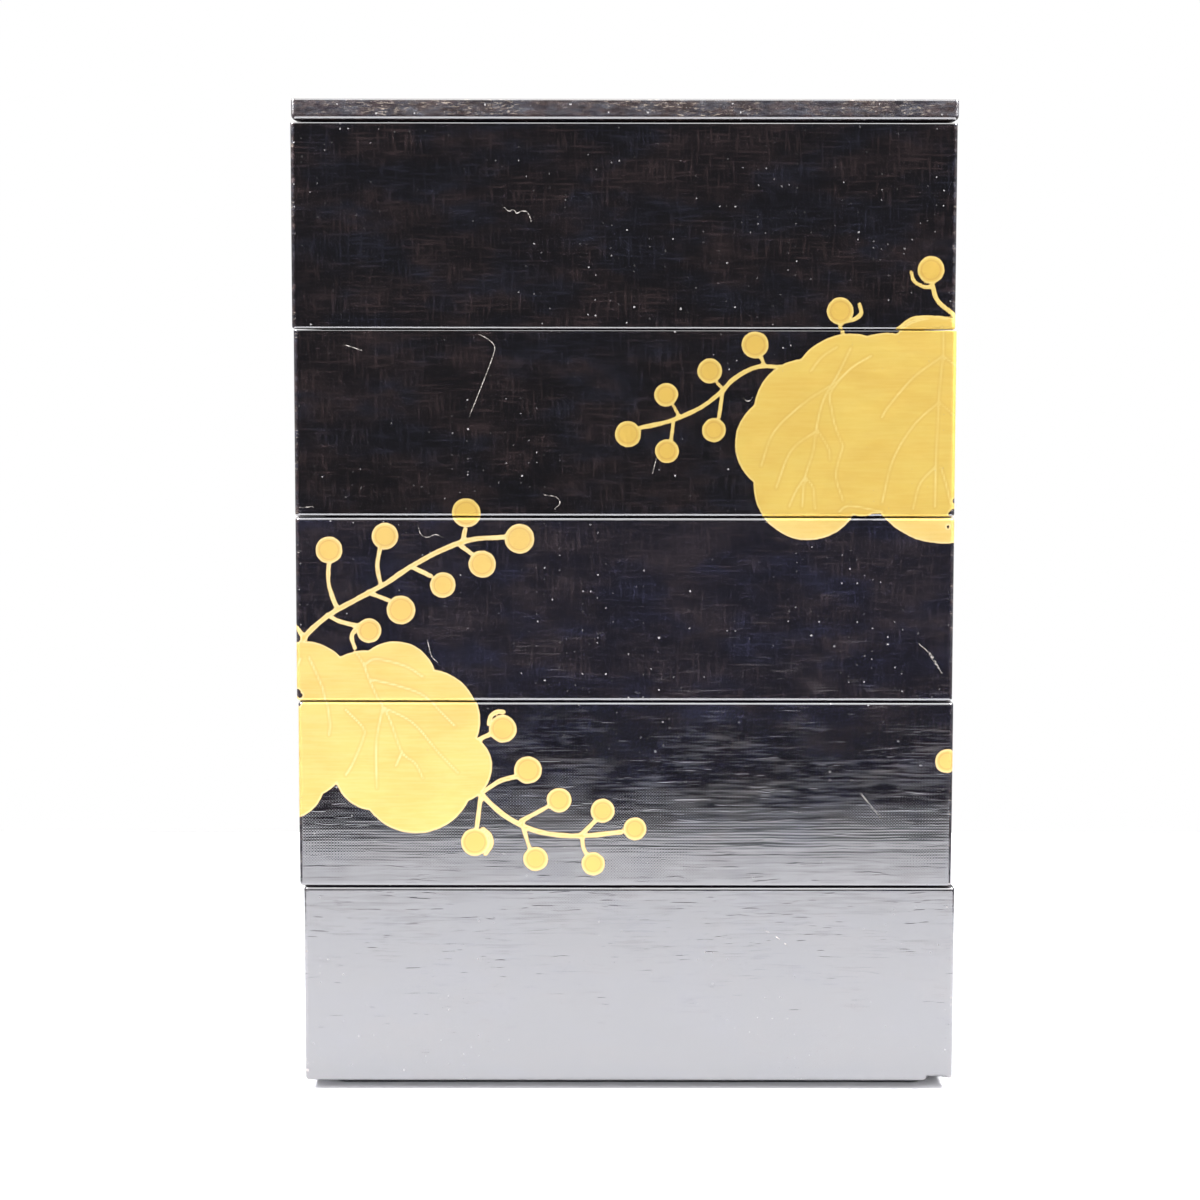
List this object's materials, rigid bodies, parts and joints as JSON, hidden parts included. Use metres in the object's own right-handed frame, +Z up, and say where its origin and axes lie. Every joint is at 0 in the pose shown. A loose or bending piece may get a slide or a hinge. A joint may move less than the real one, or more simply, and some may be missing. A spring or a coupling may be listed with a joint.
{
  "type": "lacquer stacking food box",
  "caption": "Stack of square lacquered food boxes that nest rim to rim under a thin lift-off lid, for serving and carrying festive food.",
  "frame": {"origin": "on the surface the stack stands on, under the middle of its outline seen from above", "axes": "+Z up the stack, -Y out of the decorated front, +X to the right as seen from the front"},
  "size_m": [0.2294, 0.212, 0.3431],
  "materials": {
    "tier_lacquer": "polished black lacquer over cloth on wood, the weave showing, with gold leaves and buds on the walls",
    "lid_lacquer": "black lacquer over cloth on wood, dulled and rubbed to grey-brown along the edge"
  },
  "bodies": {
    "root": {"lid": "lid_lacquer", "top_tier": "tier_lacquer", "second_tier": "tier_lacquer", "third_tier": "tier_lacquer", "fourth_tier": "tier_lacquer", "bottom_tier": "tier_lacquer"}
  },
  "joints": []
}
